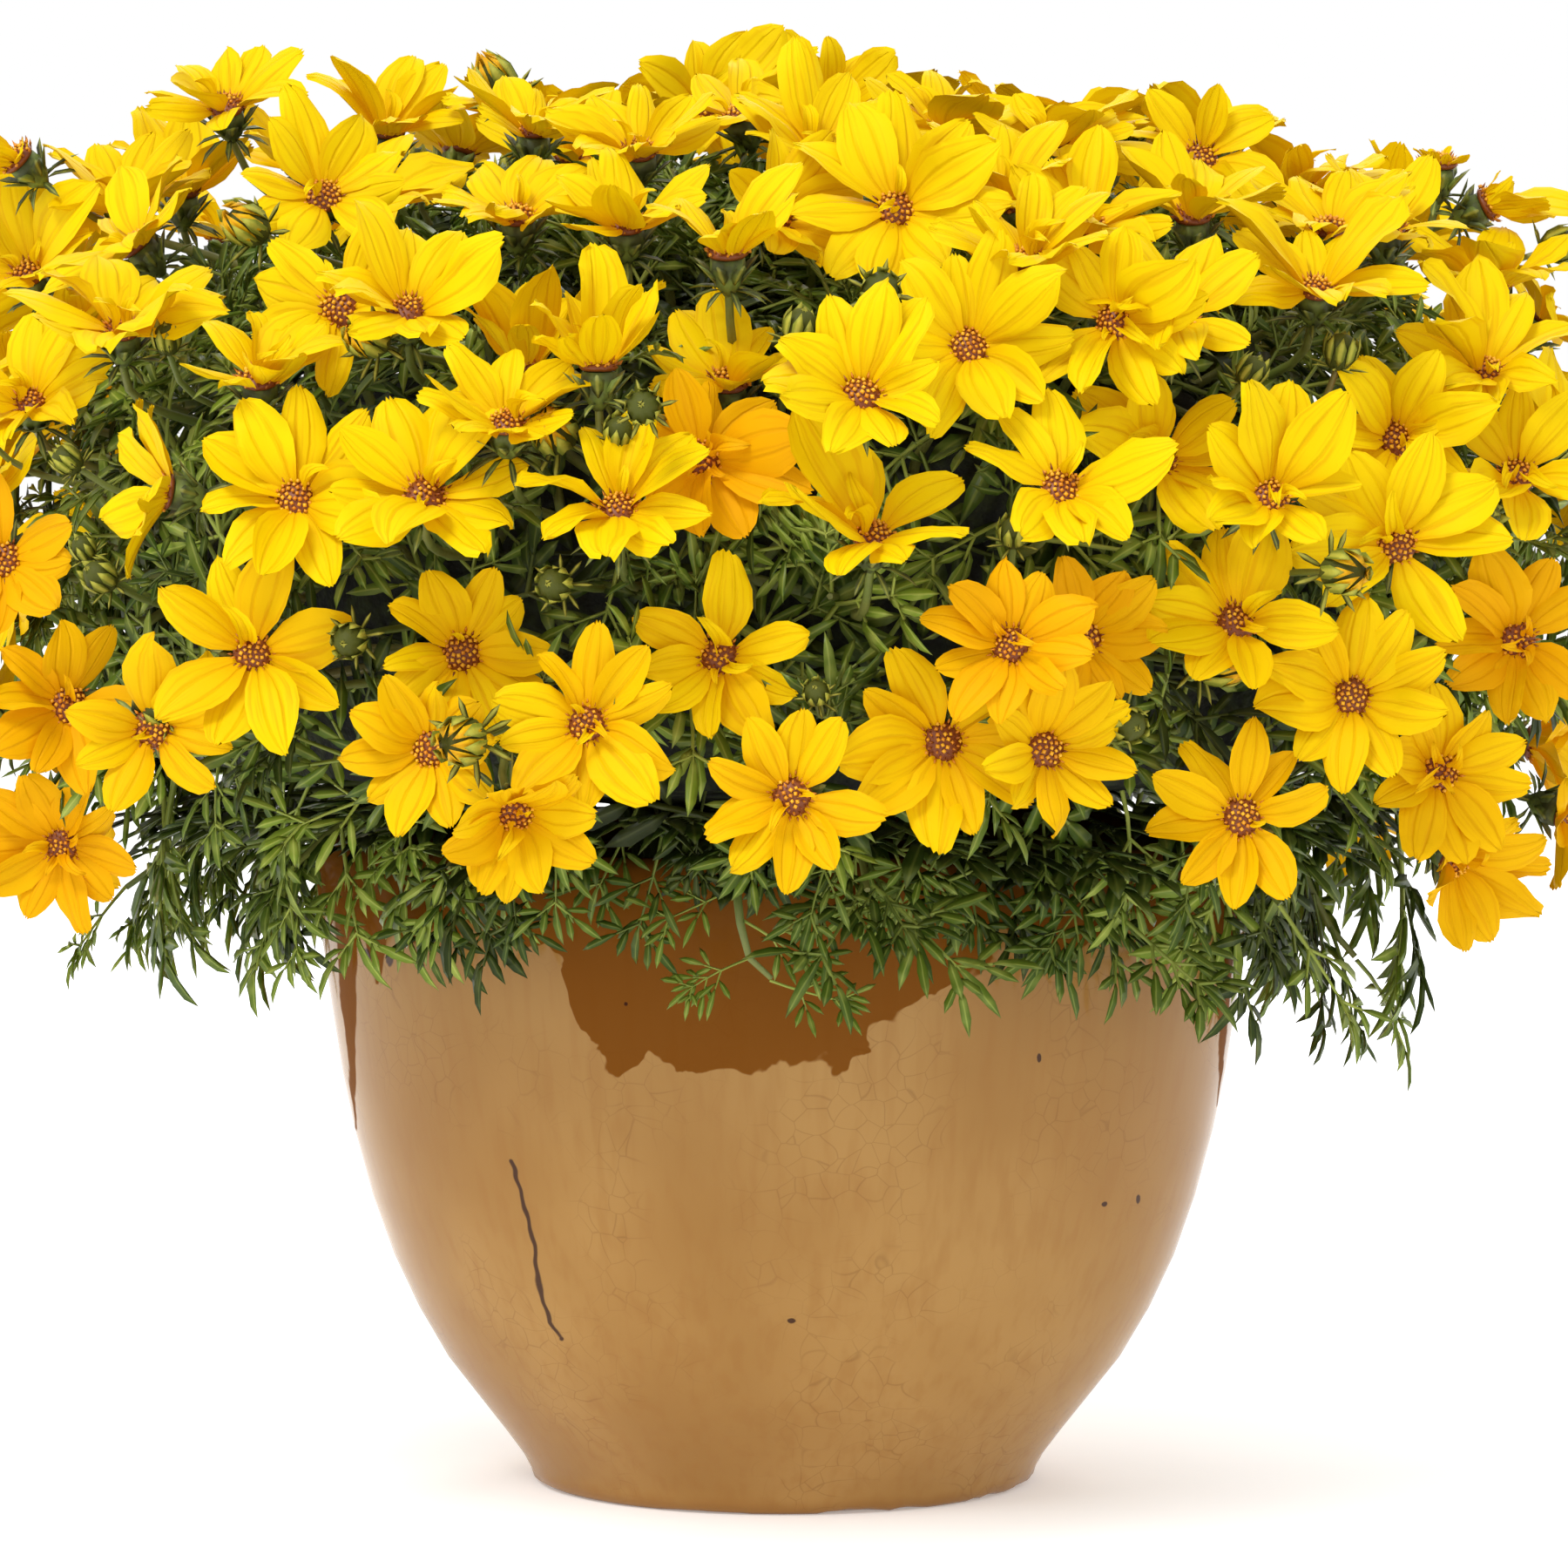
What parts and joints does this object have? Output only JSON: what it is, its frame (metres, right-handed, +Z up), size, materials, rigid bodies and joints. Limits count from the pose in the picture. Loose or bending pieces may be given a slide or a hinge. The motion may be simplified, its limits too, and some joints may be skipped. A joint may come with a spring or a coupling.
{
  "type": "potted bidens",
  "caption": "Bidens plant in full yellow bloom over ferny leaves, grown as a dense mound in a glazed ceramic bowl pot.",
  "frame": {"origin": "middle of the pot's flat foot", "axes": "+Z up along the pot's axis; -Y is the side that the picture shows; +X to its right"},
  "size_m": [0.4465, 0.457, 0.3608],
  "materials": {
    "glazed_pot": "glossy caramel glaze with fine crazing and pinholes",
    "potting_mix": "damp crumbly mix",
    "foliage": "satin leaves and stems",
    "petals": "soft matte petals"
  },
  "bodies": {
    "root": {"pot": "glazed_pot", "potting_mix": "potting_mix", "leafy_stem_crown": "foliage", "leafy_stem_1": "foliage", "leafy_stem_2": "foliage", "leafy_stem_3": "foliage", "leafy_stem_4": "foliage", "leafy_stem_5": "foliage", "leafy_stem_6": "foliage", "leafy_stem_7": "foliage", "leafy_stem_8": "foliage", "flower_spray_01": "petals", "flower_spray_02": "petals", "flower_spray_03": "petals", "flower_spray_04": "petals", "flower_spray_05": "petals", "flower_spray_06": "petals", "flower_spray_07": "petals", "flower_spray_08": "petals", "flower_spray_09": "petals", "flower_spray_10": "petals", "flower_spray_11": "petals", "flower_spray_12": "petals", "flower_spray_13": "petals", "flower_spray_14": "petals", "flower_spray_15": "petals", "flower_spray_16": "petals", "flower_spray_17": "petals", "flower_spray_18": "petals", "flower_spray_19": "petals", "flower_spray_20": "petals", "flower_spray_21": "petals", "flower_spray_22": "petals", "flower_spray_23": "petals", "flower_spray_24": "petals", "flower_spray_25": "petals", "flower_spray_26": "petals", "flower_spray_27": "petals", "flower_spray_28": "petals", "flower_spray_29": "petals", "flower_spray_30": "petals", "flower_spray_31": "petals", "flower_spray_32": "petals", "flower_spray_33": "petals", "flower_spray_34": "petals", "flower_spray_35": "petals", "flower_spray_36": "petals", "flower_spray_37": "petals", "flower_spray_38": "petals", "flower_spray_39": "petals", "flower_spray_40": "petals", "flower_spray_41": "petals", "flower_spray_42": "petals", "flower_spray_43": "petals", "flower_spray_44": "petals", "flower_spray_45": "petals", "flower_spray_46": "petals", "flower_spray_47": "petals", "flower_spray_48": "petals"}
  },
  "joints": []
}
